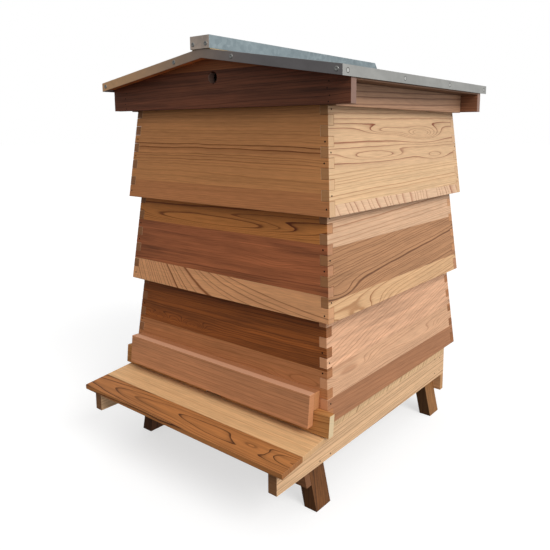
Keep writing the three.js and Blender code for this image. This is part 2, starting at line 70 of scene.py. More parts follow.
class Shader:
    """Makes and links the nodes of one node tree."""

    def __init__(self, tree):
        self.tree = tree

    def feed(self, socket, value):
        if isinstance(value, bpy.types.NodeSocket):
            self.tree.links.new(value, socket)
        else:
            socket.default_value = value

    def add(self, kind, inputs=(), **settings):
        node = self.tree.nodes.new(kind)
        for key, value in settings.items():
            setattr(node, key, value)
        for key, value in dict(inputs).items():
            self.feed(node.inputs[key], value)
        return node

    def math(self, operation, *values):
        node = self.add("ShaderNodeMath", operation=operation)
        for socket, value in zip(node.inputs, values):
            self.feed(socket, value)
        return node.outputs[0]

    def vector(self, operation, first, second):
        node = self.add("ShaderNodeVectorMath", {0: first, 1: second}, operation=operation)
        return node.outputs["Value" if operation in ("DOT_PRODUCT", "LENGTH") else "Vector"]

    def noise(self, vector, scale, stretch=(1, 1, 1), detail=2.0, distortion=0.0):
        scaled = self.vector("MULTIPLY", vector, tuple(scale * s for s in stretch))
        return self.add("ShaderNodeTexNoise", {
            "Vector": scaled, "Scale": 1.0, "Detail": detail, "Distortion": distortion,
        })

    def mix(self, factor, first, second, blend="MIX"):
        node = self.add("ShaderNodeMix", {0: factor, 6: first, 7: second},
                        data_type="RGBA", blend_type=blend)
        return node.outputs[2]

    def ramp(self, factor, stops):
        """Grey by place. A new ramp has two stops, which are set first."""
        node = self.add("ShaderNodeValToRGB", {0: factor})
        elements = node.color_ramp.elements
        for (place, value), element in zip(stops, list(elements)):
            element.position, element.color = place, (value, value, value, 1)
        for place, value in stops[2:]:
            elements.new(place).color = (value, value, value, 1)
        return node.outputs["Color"]


def make_grain():
    """A node group for sawn wood: growth rings round a pith line, fibres, streaks and patches.

    Noise is stretched by cells per metre along, across and through the plank.
    """
    tree = bpy.data.node_groups.new("cedar_grain", "ShaderNodeTree")
    sockets = tree.interface
    sockets.new_socket("Place", in_out="INPUT", socket_type="NodeSocketVector")
    for name in ("Early", "Late"):
        sockets.new_socket(name, in_out="INPUT", socket_type="NodeSocketColor")
    for name in ("Spacing", "PithV", "PithW", "DriftV", "DriftW", "Waver", "Contrast",
                 "Patch", "Streak", "Figure", "Seed"):
        sockets.new_socket(name, in_out="INPUT", socket_type="NodeSocketFloat")
    sockets.new_socket("Color", in_out="OUTPUT", socket_type="NodeSocketColor")
    sockets.new_socket("Height", in_out="OUTPUT", socket_type="NodeSocketFloat")
    s = Shader(tree)
    given = s.add("NodeGroupInput").outputs
    axes = s.add("ShaderNodeSeparateXYZ", {0: given["Place"]}).outputs
    shift = s.add("ShaderNodeCombineXYZ", {
        0: given["Seed"], 1: s.math("MULTIPLY", given["Seed"], 1.7), 2: given["Seed"],
    }).outputs[0]
    place = s.vector("ADD", given["Place"], shift)

    # the rings: distance from the pith, with slow sway and quicker ripple
    sway = s.add("ShaderNodeSeparateColor", {
        0: s.noise(place, 1.0, (4, 13, 13)).outputs["Color"],
    }).outputs
    ripple = s.noise(place, 1.0, (20, 60, 60), detail=3.0).outputs["Fac"]
    sway_v = s.math("MULTIPLY", s.math("SUBTRACT", sway[0], 0.5), given["Waver"])
    sway_w = s.math("MULTIPLY", s.math("SUBTRACT", sway[1], 0.5), given["Waver"])
    small = s.math("MULTIPLY", s.math("SUBTRACT", ripple, 0.5), given["Waver"])
    along_v = s.math("MULTIPLY", axes[0], given["DriftV"])
    along_w = s.math("MULTIPLY", axes[0], given["DriftW"])
    from_v = s.math("SUBTRACT", s.math("SUBTRACT", axes[1], given["PithV"]), along_v)
    from_w = s.math("SUBTRACT", s.math("SUBTRACT", axes[2], given["PithW"]), along_w)
    from_v = s.math("ADD", from_v, s.math("MULTIPLY_ADD", small, 0.22, sway_v))
    from_w = s.math("ADD", from_w, sway_w)
    radius = s.math("SQRT", s.math("ADD", s.math("MULTIPLY", from_v, from_v),
                                   s.math("MULTIPLY", from_w, from_w)))
    rings = s.math("DIVIDE", s.math("ADD", radius, given["Figure"]), given["Spacing"])
    years = s.add("ShaderNodeTexNoise", {"W": s.math("MULTIPLY_ADD", rings, 0.31, given["Seed"]),
                                         "Scale": 1.0, "Detail": 1.0}, noise_dimensions="1D")
    rings = s.math("MULTIPLY_ADD", years.outputs["Fac"], 2.4, rings)
    # each ring is pale, then darkens to a late line, and some years' lines are fainter
    part = s.math("FRACT", rings)
    line = s.ramp(part, [(0.0, 0.0), (1.0, 0.0), (0.55, 0.04), (0.79, 0.26), (0.9, 1.0),
                         (0.965, 1.0)])
    odd = s.add("ShaderNodeTexWhiteNoise", {"W": s.math("FLOOR", rings)},
                noise_dimensions="1D").outputs["Value"]
    late = s.math("MULTIPLY", line, s.math("MULTIPLY_ADD", odd, 0.5, 0.5))
    late = s.math("MULTIPLY", late, given["Contrast"])

    # brightness varies by fibre, by streak and by patch
    fibre = s.noise(place, 1.0, (30, 640, 640), detail=3.0).outputs["Fac"]
    streak = s.noise(place, 1.0, (4, 150, 150), detail=3.0).outputs["Fac"]
    patch = s.noise(place, 1.0, (5, 16, 16), detail=3.0, distortion=0.6).outputs["Fac"]
    color = s.mix(late, given["Early"], given["Late"])
    depth = s.math("MULTIPLY_ADD", s.math("SUBTRACT", streak, 0.5), given["Streak"], 1.0)
    depth = s.math("MULTIPLY_ADD", s.math("SUBTRACT", fibre, 0.5), 0.60, depth)
    depth = s.math("MULTIPLY_ADD", s.math("SUBTRACT", patch, 0.5), given["Patch"], depth)
    grey = s.add("ShaderNodeCombineColor", {0: depth, 1: depth, 2: depth}).outputs[0]
    color = s.mix(1.0, color, grey, "MULTIPLY")
    height = s.math("MULTIPLY_ADD", fibre, 0.5, s.math("MULTIPLY", late, -0.5))
    height = s.math("MULTIPLY_ADD", streak, 0.35, height)
    s.add("NodeGroupOutput", {"Color": color, "Height": height})
    return tree


GRAIN = make_grain()


TOPMOST = 9.0  # the top of a board's last plank: higher than any board is


class Plank:
    """One plank of a glued-up board, up to a height across the board, and its grain.

    spacing: of the rings. pith: where their middle is, across and through the board. drift:
    how far the pith moves for each metre along. waver: how far the rings sway. contrast: of
    their late lines. patch, streak: how much the brightness varies by patch and by streak.
    """

    def __init__(self, early, late, top=TOPMOST, spacing=0.004, pith=(-0.3, 0.0),
                 drift=(0.0, 0.0), waver=0.006, contrast=0.8, patch=0.3, streak=0.55, eyes=(),
                 bold=None):
        self.early, self.late, self.top = early, late, top
        self.numbers = {
            "Spacing": spacing, "PithV": pith[0], "PithW": pith[1], "DriftV": drift[0],
            "DriftW": drift[1], "Waver": waver, "Contrast": contrast, "Patch": patch,
            "Streak": streak,
        }
        self.eyes = eyes  # (u, v, half length, half width, height) of swellings in the rings
        self.bold = bold  # (v, half width, extra contrast) of a band of strong lines


def wood(name, planks, along, across, through, origin, end, seed=0.0, faces=()):
    """Glued-up sawn wood whose grain runs along one direction, placed from an origin.

    end: the tone of sawn ends, how much of it there is, and the brightness of the rest.
    faces: (direction, tone, amount) for faces that look in one direction and are turned towards
    a tone; on the legs' forward faces this is painted shade.
    """
    material = bpy.data.materials.new(name)
    material.use_nodes = True
    s = Shader(material.node_tree)
    surface = material.node_tree.nodes["Principled BSDF"]
    texture = s.add("ShaderNodeTexCoord").outputs
    local = s.vector("SUBTRACT", texture["Object"], tuple(origin))
    u, v, w = (s.vector("DOT_PRODUCT", local, tuple(d)) for d in (along, across, through))
    steps = [s.math("GREATER_THAN", v, plank.top) for plank in planks[:-1]]

    def by_plank(values):
        """A number or a colour that changes at the seams between planks."""
        result = values[0]
        for step, lower, upper in zip(steps, values, values[1:]):
            if isinstance(upper, tuple):
                result = s.mix(step, result, upper)
            elif isinstance(result, bpy.types.NodeSocket) or upper != lower:
                result = s.math("MULTIPLY_ADD", step, upper - lower, result)
        return result

    figure = 0.0
    contrast = by_plank([p.numbers["Contrast"] for p in planks])
    for index, plank in enumerate(planks):
        inside = None
        if index:
            inside = steps[index - 1]
        if index < len(steps):
            below = s.math("SUBTRACT", 1.0, steps[index])
            inside = below if inside is None else s.math("MULTIPLY", inside, below)
        for eye_u, eye_v, half_u, half_v, height in plank.eyes:
            du = s.math("DIVIDE", s.math("SUBTRACT", u, eye_u), half_u)
            dv = s.math("DIVIDE", s.math("SUBTRACT", v, eye_v), half_v)
            spread = s.math("MULTIPLY_ADD", du, du, s.math("MULTIPLY", dv, dv))
            swell = s.math("MULTIPLY", s.math("EXPONENT", s.math("MULTIPLY", spread, -1.0)),
                           height)
            if inside is not None:
                swell = s.math("MULTIPLY", swell, inside)
            figure = s.math("ADD", swell, figure)
        if plank.bold:
            bold_v, half, extra = plank.bold
            dv = s.math("DIVIDE", s.math("SUBTRACT", v, bold_v), half)
            band = s.math("EXPONENT", s.math("MULTIPLY", s.math("MULTIPLY", dv, dv), -1.0))
            if inside is not None:
                band = s.math("MULTIPLY", band, inside)
            contrast = s.math("MULTIPLY_ADD", band, extra, contrast)

    place = s.add("ShaderNodeCombineXYZ", {0: u, 1: v, 2: w}).outputs[0]
    grain = s.add("ShaderNodeGroup", node_tree=GRAIN)
    s.feed(grain.inputs["Place"], place)
    for key in planks[0].numbers:
        value = contrast if key == "Contrast" else by_plank([p.numbers[key] for p in planks])
        s.feed(grain.inputs[key], value)
    s.feed(grain.inputs["Figure"], figure)
    s.feed(grain.inputs["Early"], by_plank([p.early for p in planks]))
    s.feed(grain.inputs["Late"], by_plank([p.late for p in planks]))
    s.feed(grain.inputs["Seed"], by_plank([seed + 3.7 * i for i in range(len(planks))]))
    color = grain.outputs["Color"]
    # sawn ends are the plank's own colour, darker or paler, turned towards the end's tone
    tint, amount, share = end
    facing = s.math("ABSOLUTE", s.vector("DOT_PRODUCT", texture["Normal"], tuple(along)))
    on_end = s.math("GREATER_THAN", facing, FACING)
    own = s.mix(1.0, color, (share, share, share, 1.0), "MULTIPLY")
    color = s.mix(on_end, color, s.mix(amount, own, tint))
    # faces that look one way are turned towards a tone: painted shade on the legs' forward faces
    for direction, tint, amount in faces:
        facing = s.vector("DOT_PRODUCT", texture["Normal"], tuple(direction))
        turned = s.math("MULTIPLY", s.math("GREATER_THAN", facing, FACING), amount)
        color = s.mix(turned, color, tint)
    s.feed(surface.inputs["Base Color"], color)
    s.feed(surface.inputs["Roughness"],
           s.math("MULTIPLY_ADD", grain.outputs["Height"], -0.18, WOOD_ROUGHNESS + 0.04))
    bump = s.add("ShaderNodeBump", {"Strength": 0.6, "Distance": WOOD_RELIEF,
                                    "Height": grain.outputs["Height"]})
    s.feed(surface.inputs["Normal"], bump.outputs["Normal"])
    surface.inputs["Specular IOR Level"].default_value = 0.3
    return material


def dress(name, material, bevel=0.0007):
    """Gives a CAD node its material and takes the sharpness off its edges."""
    piece = nodes[name]
    piece.data.materials.clear()
    piece.data.materials.append(material)
    for polygon in piece.data.polygons:
        polygon.material_index = 0
    piece.modifiers.new("weld", "WELD").merge_threshold = WELD_DISTANCE
    flatten = piece.modifiers.new("flatten", "DECIMATE")
    flatten.decimate_type = "DISSOLVE"
    flatten.angle_limit = FLAT_ANGLE
    if bevel:
        edges = piece.modifiers.new("edges", "BEVEL")
        edges.width = bevel
        edges.segments = 2
        edges.limit_method = "ANGLE"
        edges.angle_limit = SHARP_ANGLE
        edges.harden_normals = True


# ---- the outer lifts ----

def front_tone(red, green, blue):
    """A surface colour from the one that it shows on a face that looks forward."""
    return tone(red, green, blue, FRONT_LIGHT)


def side_tone(red, green, blue):
    """A surface colour from the one that it shows on a face that looks to the side."""
    return tone(red, green, blue, SIDE_LIGHT)


# the planks of the walls that the photo shows, from the lowest one up: early and late wood,
# top, spacing, pith, drift, waver, contrast, patch and streak
LIFT_PLANKS = {
    "lift_1_front_wall": [
        Plank(front_tone(146, 97, 64), front_tone(94, 52, 26), 0.096, 0.0070, (-0.2, 0.02),
              (0.03, 0.0), 0.010, 0.7, 0.35, 0.6,
              eyes=[(0.22, 0.064, 0.07, 0.012, 0.024), (-0.1, 0.03, 0.1, 0.02, 0.014)]),
        Plank(front_tone(112, 62, 26), front_tone(38, 16, 5), TOPMOST, 0.0050, (-0.25, 0.02),
              (0.02, 0.0), 0.018, 0.72, 0.9, 1.7,
              eyes=[(-0.198, 0.106, 0.026, 0.009, 0.034), (-0.09, 0.108, 0.032, 0.010, 0.038)]),
    ],
    "lift_1_right_wall": [
        Plank(side_tone(174, 122, 86), side_tone(130, 82, 52), 0.045, 0.0050, (-0.3, 0.03),
              (-0.04, 0.0), 0.010, 0.6, 0.35),
        Plank(side_tone(222, 176, 139), side_tone(156, 102, 68), 0.099, 0.0060, (-0.2, 0.02),
              (0.05, 0.0), 0.014, 0.75, 0.35,
              eyes=[(-0.19, 0.074, 0.075, 0.013, 0.022), (0.10, 0.066, 0.10, 0.014, 0.022)]),
        Plank(side_tone(226, 178, 142), side_tone(160, 102, 66), TOPMOST, 0.0078, (-0.32, 0.03),
              (0.24, 0.0), 0.018, 0.78, 0.9, 0.9),
    ],
    "lift_2_front_wall": [
        Plank(front_tone(181, 134, 100), front_tone(108, 60, 34), 0.0475, 0.0150, (-0.3, 0.03),
              (-0.12, 0.0), 0.012, 1.0, 0.2, 0.45,
              eyes=[(-0.46, 0.02, 0.23, 0.60, -0.60)]),
        Plank(front_tone(129, 76, 49), front_tone(64, 27, 15), 0.137, 0.0042, (-0.25, 0.03),
              (0.02, 0.0), 0.014, 0.5, 1.1, 1.6,
              eyes=[(-0.03, 0.098, 0.05, 0.012, 0.008), (0.15, 0.088, 0.06, 0.012, 0.008)]),
        Plank(front_tone(160, 104, 56), front_tone(76, 32, 10), TOPMOST, 0.0110, (-0.3, 0.03),
              (0.02, 0.0), 0.012, 1.0, 0.2, 0.45,
              eyes=[(-0.02, 0.153, 0.21, 0.012, 0.046)]),
    ],
    "lift_2_right_wall": [
        Plank(side_tone(226, 183, 137), side_tone(158, 102, 58), 0.037, 0.0080, (-0.3, 0.03),
              (0.10, 0.0), 0.012, 0.95, 0.2, 0.45,
              eyes=[(-0.17, -0.010, 0.09, 0.026, 0.036)]),
        Plank(side_tone(188, 139, 99), side_tone(88, 48, 24), 0.131, 0.0058, (-0.25, 0.03),
              (0.10, 0.0), 0.012, 1.0, 0.4, 0.6,
              eyes=[(-0.22, 0.045, 0.05, 0.016, 0.016)]),
        Plank(side_tone(228, 188, 152), side_tone(172, 114, 76), TOPMOST, 0.0068, (-0.3, 0.04),
              (0.04, 0.0), 0.007, 0.9, 0.25, 0.45),
    ],
    "lift_3_front_wall": [
        Plank(front_tone(151, 101, 66), front_tone(120, 72, 44), 0.0395, 0.0040, (-0.3, 0.02),
              (0.02, 0.0), 0.004, 0.5, 0.2, 0.45),
        Plank(front_tone(158, 110, 71), front_tone(84, 38, 12), TOPMOST, 0.0078, (-0.3, 0.03),
              (-0.01, 0.0), 0.015, 0.34, 0.25, 0.5, bold=(0.107, 0.018, 1.1)),
    ],
    "lift_3_right_wall": [
        Plank(side_tone(233, 196, 160), side_tone(150, 70, 44), 0.0205, 0.0340, (0.9, 0.03),
              (-1.7, 0.0), 0.046, 0.8, 0.15, 0.3),
        Plank(side_tone(232, 195, 151), side_tone(172, 112, 72), 0.078, 0.0064, (-0.30, 0.03),
              (0.03, 0.0), 0.006, 0.8, 0.15, 0.4),
        Plank(side_tone(229, 191, 149), side_tone(140, 70, 44), TOPMOST, 0.0125, (-0.30, 0.03),
              (0.02, 0.0), 0.012, 1.0, 0.2, 0.4,
              eyes=[(0.088, 0.141, 0.080, 0.0135, 0.056), (-0.06, 0.147, 0.08, 0.009, 0.024),
                    (0.15, 0.094, 0.06, 0.009, 0.024), (-0.10, 0.100, 0.12, 0.009, 0.022)]),
    ],
}
# the sawn ends of the walls at the corners: front and rear walls end on the sides, and the
# side walls on the front and rear
CORNER_ENDS = {
    1: ((side_tone(180, 130, 90), 0.45, 0.9), (front_tone(172, 124, 94), 0.85, 0.5)),
    2: ((side_tone(208, 162, 124), 0.6, 0.9), (front_tone(130, 90, 60), 0.85, 0.5)),
    3: ((side_tone(230, 198, 158), 0.75, 1.0), (front_tone(146, 104, 68), 0.85, 0.5)),
}
LEFT_END = (front_tone(116, 76, 48), 0.85, 0.5)
BROWN_END = (front_tone(128, 92, 60), 0.6, 0.62)


def end_tone(red, green, blue, amount=0.6, share=0.85):
    """The end of a board, as wood() takes it."""
    return (tone(red, green, blue), amount, share)


def front_end(red, green, blue):
    """The end of a board, in the light that reaches the front."""
    return (front_tone(red, green, blue), 0.6, 0.85)


# each wall's direction along its grain, and the one that its leaning outer face looks in
SIDES = {
    "front": (X_AXIS, Vector((0, -1, LEAN))),
    "rear": (-X_AXIS, Vector((0, 1, LEAN))),
    "left": (-Y_AXIS, Vector((-1, 0, LEAN))),
    "right": (Y_AXIS, Vector((1, 0, LEAN))),
}


def lift_origin(name, through):
    """The middle of a wall's bottom edge, on its outer face."""
    low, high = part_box(name)
    middle = (low + high) / 2
    outer = [high[i] if through[i] > 0 else low[i] for i in range(3)]
    return Vector((
        middle.x if abs(through.x) < 0.5 else outer[0],
        middle.y if abs(through.y) < 0.5 else outer[1],
        low.z,
    ))


CROSS_GRAIN = 1  # rings that drift faster than this run across the plank


def swapped(planks, change):
    """The planks of an unseen wall: those of the seen one opposite, in another order."""
    planks = [plank for plank in planks if abs(plank.numbers["DriftV"]) < CROSS_GRAIN]
    tops = [plank.top for plank in planks]
    moved = []
    for plank, top in zip(planks[1:] + planks[:1], tops):
        numbers = plank.numbers
        moved.append(Plank(
            plank.early, plank.late, top, numbers["Spacing"],
            (numbers["PithV"] + change, numbers["PithW"]),
            (-numbers["DriftV"], numbers["DriftW"]), numbers["Waver"],
            min(numbers["Contrast"] + 0.1, 1.0), numbers["Patch"], numbers["Streak"],
        ))
    return moved


for level in (1, 2, 3):
    for side, (along, through) in SIDES.items():
        name = f"lift_{level}_{side}_wall"
        seen = {"rear": "front", "left": "right"}.get(side, side)
        planks = LIFT_PLANKS[f"lift_{level}_{seen}_wall"]
        if seen != side:
            planks = swapped(planks, 0.004 * level)
        end = CORNER_ENDS[level][0 if side in ("front", "rear") else 1]
        if side == "left":
            end = LEFT_END
        dress(name, wood(
            name, planks, along, Z_AXIS, through, lift_origin(name, through), end,
            seed=level * 1.3 + len(side) * 0.77,
        ))

# ---- other boards ----

PINE = Plank(tone(226, 196, 148), tone(196, 150, 100), spacing=0.005, contrast=0.6, patch=0.2)
PINE_END = end_tone(214, 180, 132)


def plain_board(name, planks, along, across, end, seed=0.0, faces=()):
    """A board placed from its own lowest corner across and its middle along."""
    low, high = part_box(name)
    through = along.cross(across)
    middle = (low + high) / 2
    origin = middle.copy()
    origin += across * (min(low.dot(across), high.dot(across)) - middle.dot(across))
    dress(name, wood(name, planks, along, across, through, origin, end, seed, faces))


plain_board("porch_board", [
    Plank(front_tone(154, 109, 81), front_tone(118, 74, 48), spacing=0.0050,
          pith=(-0.25, 0.02), waver=0.005, contrast=0.6, patch=0.3, streak=0.7),
], X_AXIS, Z_AXIS, front_end(166, 118, 88), 4.2,
    faces=[(Z_AXIS, tone(206, 156, 126), 0.8)])
plain_board("porch_spacer", [
    Plank(front_tone(160, 114, 80), front_tone(136, 90, 58), spacing=0.004),
], X_AXIS, Z_AXIS, front_end(150, 106, 74), 5.2,
    faces=[(Z_AXIS, tone(154, 100, 66), 0.85)])
for side in ("left", "right"):
    plain_board(f"entrance_slide_{side}", [
        Plank(front_tone(150, 106, 64), front_tone(100, 58, 26), spacing=0.006,
              pith=(-0.02, 0.012), drift=(0.1, 0.0), waver=0.01, contrast=0.9),
    ], X_AXIS, Z_AXIS, end_tone(226, 208, 170, 0.75), 6.3 if side == "right" else 7.9)

plain_board("alighting_board_rear", [
    Plank(tone(214, 170, 122), tone(176, 126, 80), spacing=0.0056, pith=(-0.3, 0.02),
          waver=0.004, contrast=0.6, patch=0.15),
], X_AXIS, Y_AXIS, end_tone(206, 166, 124), 1.7)
plain_board("alighting_board_front", [
    Plank(tone(172, 112, 62), tone(66, 30, 12), spacing=0.0062, pith=(0.030, -0.012),
          drift=(0.0, 0.055), waver=0.012, contrast=1.0, patch=0.35, streak=0.8,
          eyes=[(0.19, 0.03, 0.06, 0.012, 0.016)]),
], X_AXIS, Y_AXIS, end_tone(156, 104, 62), 2.9)

for side in ("left", "right"):
    plain_board(f"floor_rail_{side}", [
        Plank(tone(216, 177, 137), tone(128, 82, 46), 0.055, spacing=0.0070, pith=(-0.3, 0.02),
              drift=(0.02, 0.0), waver=0.004, contrast=0.85, patch=0.15),
        Plank(tone(212, 176, 134), tone(150, 112, 76), spacing=0.0170, pith=(-0.9, 0.02),
              drift=(1.1, 0.0), waver=0.012, contrast=0.9, patch=0.15),
    ], Y_AXIS, Z_AXIS, (front_tone(102, 68, 42), 0.8, 0.5), 3.1 if side == "right" else 9.4)
plain_board("rear_cross_board", [
    Plank(tone(206, 158, 112), tone(170, 116, 72), spacing=0.005, pith=(-0.06, 0.01),
          drift=(0.0, 0.04), waver=0.01),
], X_AXIS, Z_AXIS, end_tone(180, 136, 92), 8.1)
plain_board("front_leg_brace", [
    Plank(tone(128, 84, 54), tone(92, 56, 34), spacing=0.004, waver=0.008),
], X_AXIS, Z_AXIS, end_tone(120, 80, 52), 8.8)
FLOOR_PLANK = 0.094  # width
FLOOR_PLANKS = [
    Plank(tone(216, 180, 136), tone(166, 122, 84), FLOOR_PLANK * (i + 1), 0.0070,
          (FLOOR_PLANK * i + 0.05, 0.03), (0.02, 0.0), 0.008, 0.8)
    for i in range(6)
]
plain_board("floor_panel", FLOOR_PLANKS, X_AXIS, Y_AXIS, end_tone(206, 170, 128, 0.2, 0.95), 5.5)

LEG_TONES = {
    "leg_front_right": ((106, 65, 30), (52, 26, 10)),
    "leg_front_left": ((92, 54, 28), (48, 24, 10)),
    "leg_rear_right": ((144, 100, 58), (88, 52, 26)),
    "leg_rear_left": ((136, 92, 52), (84, 50, 26)),
}
# painted shade: the legs' forward faces, in the shade under the hive, are darkened towards this
# tone
SHADED_LEG = tone(54, 30, 14)
for name, (early, late) in LEG_TONES.items():
    plain_board(name, [
        Plank(tone(*early), tone(*late), spacing=0.0055, pith=(-0.08, 0.03), waver=0.006,
              contrast=0.9, streak=0.9),
    ], Z_AXIS, Y_AXIS, end_tone(92, 60, 40), 2.2 if "front" in name else 4.4,
        faces=[(-Y_AXIS, SHADED_LEG, 0.5 if "front" in name else 0.75)])

# ---- roof timber ----

PEAK = 0.0715  # the gable's main board ends here, and a paler peak is glued on
ROOF_PLANK = 0.0795  # width
for name, along, early in (("gable_front", X_AXIS, (93, 54, 38)),
                           ("gable_rear", -X_AXIS, (116, 80, 62))):
    plain_board(name, [
        Plank(front_tone(*early), front_tone(48, 24, 13), PEAK, 0.0056, (-0.2, 0.02),
              (0.04, 0.0), 0.016, 0.8, 0.8, 1.6),
        Plank(front_tone(132, 82, 52), front_tone(84, 48, 28), TOPMOST, 0.006, (-0.2, 0.02),
              (0.02, 0.0), 0.008, 0.7, 0.3),
    ], along, Z_AXIS, end_tone(148, 120, 108, 0.8), 6.1)
for side in ("left", "right"):
    plain_board(f"roof_rail_{side}", [
        Plank(tone(184, 142, 112), tone(92, 56, 38), spacing=0.0078, pith=(-0.2, 0.03),
              drift=(0.03, 0.0), waver=0.006, contrast=0.85),
    ], Y_AXIS, Z_AXIS, BROWN_END, 7.1 if side == "right" else 1.1)
    # painted shade: the battens' colour is darkened to stand in for the shade under the fascia
    plain_board(f"eave_batten_{side}", [
        Plank(tone(104, 74, 54), tone(76, 50, 34), spacing=0.004),
    ], Y_AXIS, Z_AXIS, BROWN_END, 2.6)
    plain_board(f"roof_board_{side}", [
        Plank(tone(214 + 18 * (i % 2), 124 + 12 * (i % 2), 64 + 10 * (i % 2)),
              tone(140, 70, 34), ROOF_PLANK * (i + 1), 0.006, (0.08 * i + 0.3, 0.02),
              (0.03, 0.0), 0.006, 0.8, 0.3)
        for i in range(4)
    ], Y_AXIS, X_AXIS, end_tone(150, 106, 72), 3.9 if side == "right" else 0.4)
plain_board("ridge_block", [PINE], Y_AXIS, X_AXIS, PINE_END)

# ---- batten frames, brood box and crown board ----

for name in ("lift_1_rest_frame", "lift_2_rest_frame", "lift_3_rest_frame",
             "roof_rest_frame", "floor_batten_frame"):
    plain_board(name, [PINE], X_AXIS, Y_AXIS, PINE_END, 0.3 * len(name))
for side, along in (("left", Y_AXIS), ("right", Y_AXIS), ("front", X_AXIS), ("rear", X_AXIS)):
    plain_board(f"brood_box_{side}_wall", [
        Plank(tone(216, 168, 122), tone(178, 122, 80), spacing=0.0058, pith=(0.08, -0.02),
              drift=(0.01, 0.05), waver=0.01, contrast=0.7),
    ], along, Z_AXIS, end_tone(222, 186, 140), len(side) * 1.1)
plain_board("crown_board", [
    Plank(tone(226, 190, 144), tone(200, 156, 108), spacing=0.012, pith=(0.1, -0.03),
          drift=(0.0, 0.08), waver=0.03, contrast=0.5, patch=0.2),
], X_AXIS, Y_AXIS, end_tone(190, 150, 104), 6.6)


WAX_HALF = 0.0030  # half the thickness within which a frame is wax
CELLS = 185.0  # wax cells in a metre


def waxed(name):
    """Frame bars of pale wood round a wax sheet stamped with cells."""
    low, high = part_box(name)
    middle = (low + high) / 2
    material = wood(name, [PINE], Y_AXIS, Z_AXIS, X_AXIS, low, PINE_END)
    s = Shader(material.node_tree)
    surface = material.node_tree.nodes["Principled BSDF"]
    texture = s.add("ShaderNodeTexCoord").outputs
    local = s.vector("SUBTRACT", texture["Object"], tuple(middle))
    off = s.math("ABSOLUTE", s.vector("DOT_PRODUCT", local, tuple(X_AXIS)))
    on_wax = s.math("LESS_THAN", off, WAX_HALF)
    cells = s.add("ShaderNodeTexVoronoi", {
        "Vector": s.vector("MULTIPLY", local, (0.0, 1.0, 1.0)), "Scale": CELLS,
        "Randomness": 0.12,
    }, feature="DISTANCE_TO_EDGE").outputs["Distance"]
    rim = s.ramp(cells, [(0.0, 1.0), (0.3, 0.0)])
    wax = s.mix(rim, tone(214, 158, 62), tone(240, 200, 112))
    timber = surface.inputs["Base Color"].links[0].from_socket
    s.feed(surface.inputs["Base Color"], s.mix(on_wax, timber, wax))
    return material


for index in range(10):
    dress(f"brood_frame_{index + 1}", waxed(f"brood_frame_{index + 1}"), 0.0005)

# ---- metal ----

FLUSH_RIM = 0.0046  # radius of the dark ring of painted shade that stands in for the dimple round a level screw head
FLUSH_HEAD = 0.0034


def zinc(name, light, dark, rough, spangle=1.0, front=None, flush=()):
    """Galvanised sheet: zinc crystals, faint runs and fine scratches.

    front: tints for the faces that look forward, at the far right and at the far left: painted
    reflection, with painted shade where they are darker and a painted highlight where they are
    lighter.
    flush: (y, z) of screw heads pulled level with the faces that look sideways.
    """
    material = bpy.data.materials.new(name)
    material.use_nodes = True
    s = Shader(material.node_tree)
    surface = material.node_tree.nodes["Principled BSDF"]
    texture = s.add("ShaderNodeTexCoord").outputs
    place, normal = texture["Object"], texture["Normal"]
    warp = s.noise(place, 60.0, detail=2.0).outputs["Color"]
    moved = s.vector("ADD", place, s.vector("MULTIPLY", warp, (0.006, 0.006, 0.006)))
    crystals = s.add("ShaderNodeTexVoronoi", {"Vector": moved, "Scale": 110.0}).outputs["Color"]
    crystal = s.add("ShaderNodeSeparateColor", {0: crystals}).outputs[0]
    cloud = s.noise(place, 14.0, (1, 1, 2), detail=4.0, distortion=0.8).outputs["Fac"]
    mark = s.noise(place, 1.0, (900, 14, 500), detail=2.0).outputs["Fac"]
    amount = s.math("MULTIPLY_ADD", crystal, 0.3 * spangle, s.math("MULTIPLY", cloud, 0.7))
    color = s.mix(s.math("MINIMUM", amount, 1.0), dark, light)
    # painted reflection: the faces that look forward are darkened or lightened, from right to
    # left
    if front:
        forward = s.math("GREATER_THAN", s.vector("DOT_PRODUCT", normal, (0, -1, 0)), FACING)
        leftward = s.add("ShaderNodeMapRange", {
            "Value": s.vector("DOT_PRODUCT", place, (-1, 0, 0)), "From Min": -0.15,
            "From Max": 0.32,
        }, interpolation_type="SMOOTHSTEP").outputs["Result"]
        tint = s.mix(leftward, (*front[0], 1), (*front[1], 1))
        color = s.mix(forward, color, s.mix(1.0, color, tint, "MULTIPLY"))
    if flush:
        sideways = s.math("ABSOLUTE", s.vector("DOT_PRODUCT", normal, (1, 0, 0)))
        on_side = s.math("GREATER_THAN", sideways, FACING)
        flat = s.vector("MULTIPLY", place, (0, 1, 1))
    for y, z in flush:
        reach = s.vector("LENGTH", s.vector("SUBTRACT", flat, (0, y, z)), (0, 0, 0))
        rim = s.math("MULTIPLY", s.math("LESS_THAN", reach, FLUSH_RIM), on_side)
        head = s.math("MULTIPLY", s.math("LESS_THAN", reach, FLUSH_HEAD), on_side)
        # painted shade: a dark ring where the dimple round the head would lie in shade, and the
        # head's pale colour inside it
        color = s.mix(rim, color, tone(96, 94, 92))
        color = s.mix(head, color, tone(214, 214, 210))
    s.feed(surface.inputs["Base Color"], color)
    surface.inputs["Metallic"].default_value = 1.0
    roughness = s.math("MULTIPLY_ADD", crystal, 0.14 * spangle, rough - 0.06)
    roughness = s.math("MULTIPLY_ADD", cloud, 0.14, roughness)
    s.feed(surface.inputs["Roughness"], roughness)
    height = s.math("MULTIPLY_ADD", mark, 0.3, s.math("MULTIPLY", cloud, 1.2))
    bump = s.add("ShaderNodeBump", {"Strength": 0.5, "Distance": 0.0006, "Height": height})
    s.feed(surface.inputs["Normal"], bump.outputs["Normal"])
    return material


